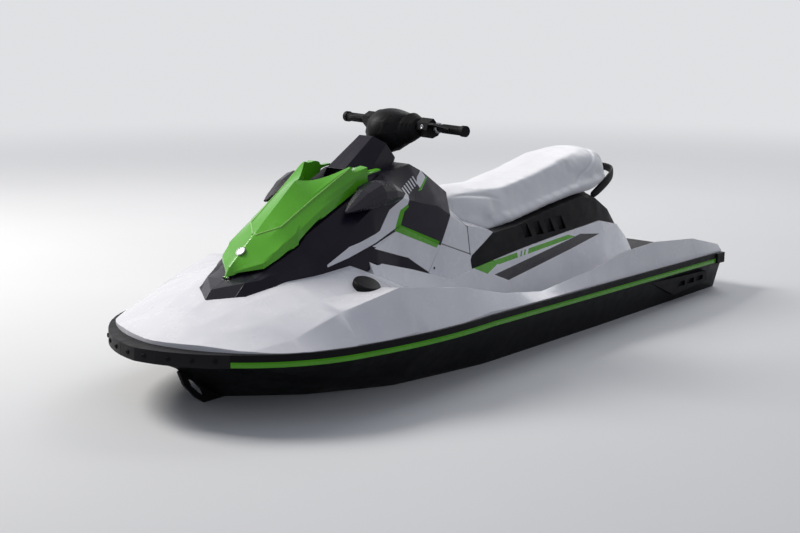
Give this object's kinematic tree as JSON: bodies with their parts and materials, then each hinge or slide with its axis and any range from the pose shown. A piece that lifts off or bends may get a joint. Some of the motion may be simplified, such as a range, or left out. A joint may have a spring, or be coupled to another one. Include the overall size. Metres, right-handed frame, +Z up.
{
  "type": "personal watercraft",
  "caption": "Sit-down jet boat: decked V hull, steered handlebar and jet nozzle, reverse bucket, impeller, front-hinged hood over a storage bin, and lift-off seat over the engine.",
  "frame": {"origin": "on the waterline, on the centre line, midway between transom and bow", "axes": "+X forward, +Y port, +Z up"},
  "size_m": [3.139, 1.1308, 1.167],
  "materials": {
    "hull_paint": "gloss",
    "white_gelcoat": "gloss",
    "green_gelcoat": "gloss",
    "dark_panel": "satin",
    "black_plastic": "matt",
    "black_steel": "satin",
    "grip_rubber": "matt",
    "mat_foam": "matt",
    "seat_vinyl": "satin",
    "mirror": "mirror",
    "cast_metal": "cast",
    "pump_alloy": "satin",
    "impeller_steel": "machined"
  },
  "bodies": {
    "hull": {"bow_bumper_centre": "black_plastic", "bow_bumper_port": "black_plastic", "bow_bumper_starboard": "black_plastic", "bow_eye": "black_plastic", "console": "dark_panel", "cowl_foot": "dark_panel", "deck": "white_gelcoat", "engine": "cast_metal", "fairing_port": "dark_panel", "fairing_starboard": "dark_panel", "footwell_mat_port": "mat_foam", "footwell_mat_starboard": "mat_foam", "front_cover_port": "white_gelcoat", "front_cover_starboard": "white_gelcoat", "fuel_cap": "black_plastic", "grab_handle": "black_steel", "hull": "hull_paint", "intake_grate": "pump_alloy", "jet_tunnel": "hull_paint", "mirror_glass_port": "mirror", "mirror_glass_starboard": "mirror", "mirror_port": "black_plastic", "mirror_starboard": "black_plastic", "nose_panel": "dark_panel", "pedestal": "white_gelcoat", "platform_mat": "mat_foam", "pump_housing": "pump_alloy", "rail_port": "black_plastic", "rail_starboard": "black_plastic", "rail_stripe_port": "green_gelcoat", "rail_stripe_starboard": "green_gelcoat", "ramp_mat_port": "mat_foam", "ramp_mat_starboard": "mat_foam", "ride_plate": "black_plastic", "seat_base": "black_plastic", "side_cover_port": "white_gelcoat", "side_cover_starboard": "white_gelcoat", "sponson_port": "black_plastic", "sponson_starboard": "black_plastic", "stern_bumper_port": "black_plastic", "stern_bumper_starboard": "black_plastic", "storage_bin": "black_plastic"},
    "handlebars": {"handlebar": "black_steel", "handlebar_cover": "black_plastic", "grip_port": "grip_rubber", "grip_starboard": "grip_rubber", "switch_housing_port": "black_plastic", "switch_housing_starboard": "black_plastic", "reverse_lever": "black_plastic", "throttle_lever": "black_plastic"},
    "nozzle": {"steering_nozzle": "pump_alloy"},
    "bucket": {"reverse_bucket": "pump_alloy"},
    "impeller": {"impeller": "impeller_steel"},
    "hood": {"hood": "green_gelcoat"},
    "seat": {"seat": "seat_vinyl"}
  },
  "joints": [
    {"name": "steering", "type": "hinge", "parent": "hull", "child": "handlebars", "pos_m": [0.3, 0, 0.88], "axis": [-0.7385, 0, 0.6743], "range_deg": [-14, 36]},
    {"name": "nozzle_steer", "type": "hinge", "parent": "hull", "child": "nozzle", "pos_m": [-1.38, 0, -0.088], "axis": [0, 0, 1], "range_deg": [-28.8, 11.2]},
    {"name": "reverse", "type": "hinge", "parent": "nozzle", "child": "bucket", "pos_m": [-1.42941, -0.00765, -0.088], "axis": [0.153, -0.9882, 0], "range_deg": [0, 70]},
    {"name": "impeller_spin", "type": "hinge", "parent": "hull", "child": "impeller", "pos_m": [-1.12, 0, -0.088], "axis": [1, 0, 0], "continuous": true},
    {"name": "hood_hinge", "type": "hinge", "parent": "hull", "child": "hood", "pos_m": [1.149, 0, 0.422], "axis": [0, 1, 0], "range_deg": [0, 60]},
    {"name": "seat_lift", "type": "slide", "parent": "hull", "child": "seat", "axis": [0, 0, 1], "range_m": [0, 0.3]}
  ],
  "couplings": [
    {"joint": "nozzle_steer", "follows": "steering", "ratio": -0.8}
  ]
}
